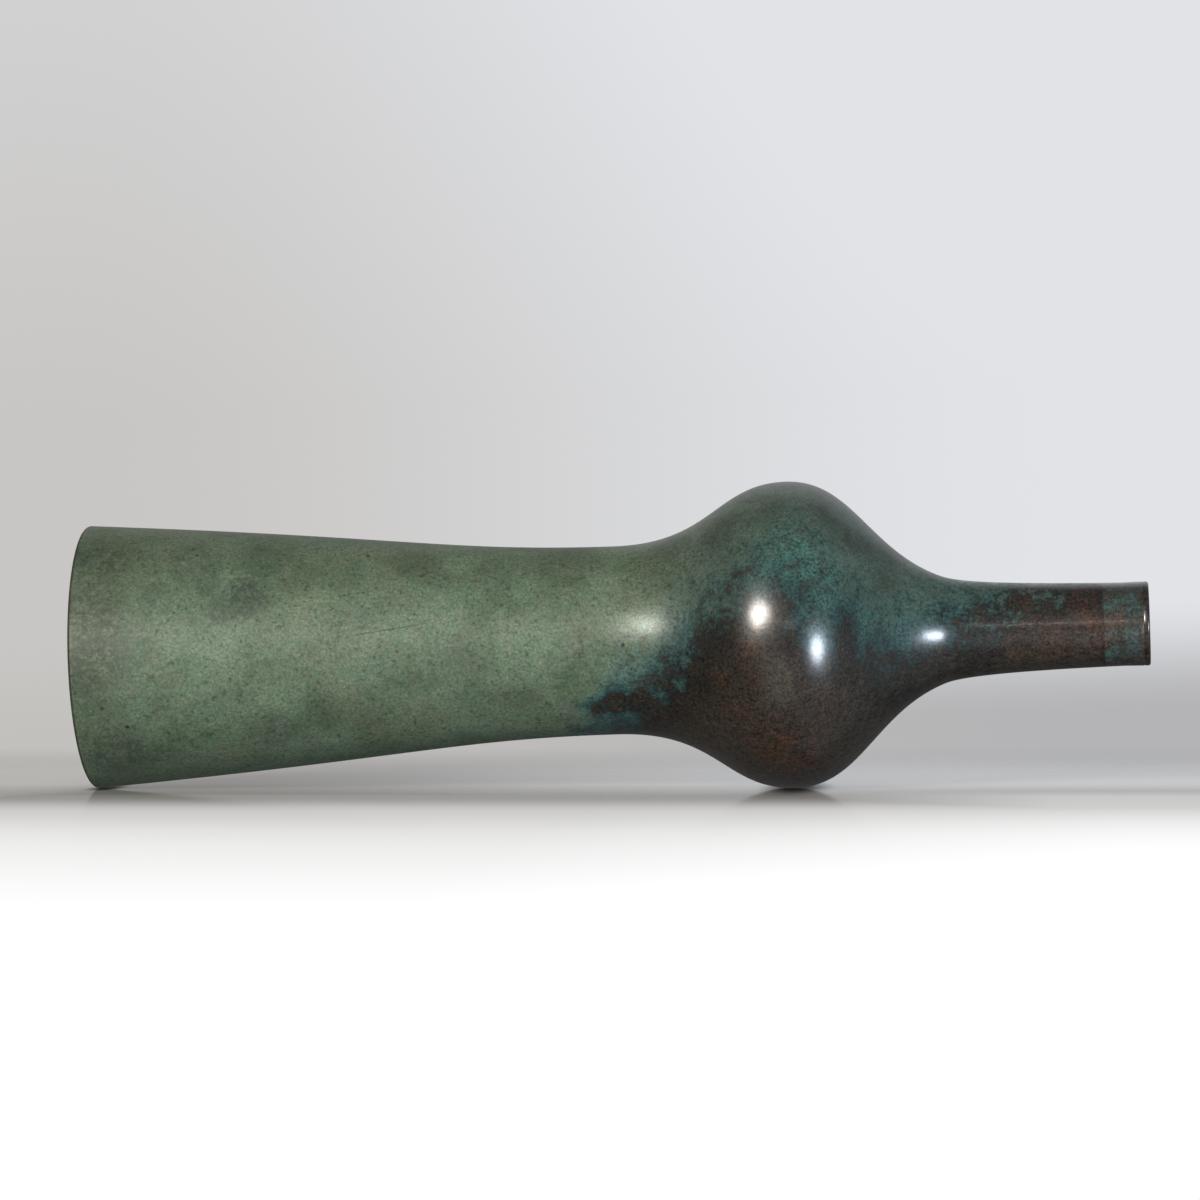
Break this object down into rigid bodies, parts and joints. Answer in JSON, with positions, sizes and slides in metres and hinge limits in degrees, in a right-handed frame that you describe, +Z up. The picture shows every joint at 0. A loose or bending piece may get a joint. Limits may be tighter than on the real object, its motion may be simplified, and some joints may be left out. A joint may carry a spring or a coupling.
{
  "type": "flower vase",
  "caption": "Slim cast bronze flower vase: a tapered column on a round foot, a waist, a turnip-shaped belly and a narrow neck, in a sage green, turquoise and dark brown patina.",
  "frame": {"origin": "centre of the foot's underside, the plane that the vase stands on", "axes": "+Z up along the vase's axis, from the foot to the mouth; +X towards the side that faces the camera in the picture, +Y towards the side that lies on the ground there"},
  "size_m": [0.095, 0.095, 0.33],
  "materials": {
    "column_patina": "cast bronze, dressed smooth, sage green verdigris patina with darker mottling, waxed to a soft sheen",
    "belly_patina": "cast bronze, dressed smooth, dark brown patina with copper-orange mottling, turquoise at its edges, waxed",
    "neck_patina": "cast bronze, dressed smooth, brown patina clouded with turquoise, waxed",
    "mouth_patina": "turned bronze ring, turquoise and brown patina, worn to bare metal along the bead",
    "base_bronze": "bronze plate, unpolished, dull brown",
    "soft_solder": "tin solder, dull grey",
    "brazing_filler": "silver-bearing brazing filler, pale yellow"
  },
  "bodies": {
    "root": {"column_casting": "column_patina", "belly_casting": "belly_patina", "neck_casting": "neck_patina", "mouth_ring": "mouth_patina", "base_plate": "base_bronze", "base_solder": "soft_solder", "waist_braze": "brazing_filler", "neck_braze": "brazing_filler", "mouth_braze": "brazing_filler"}
  },
  "joints": []
}
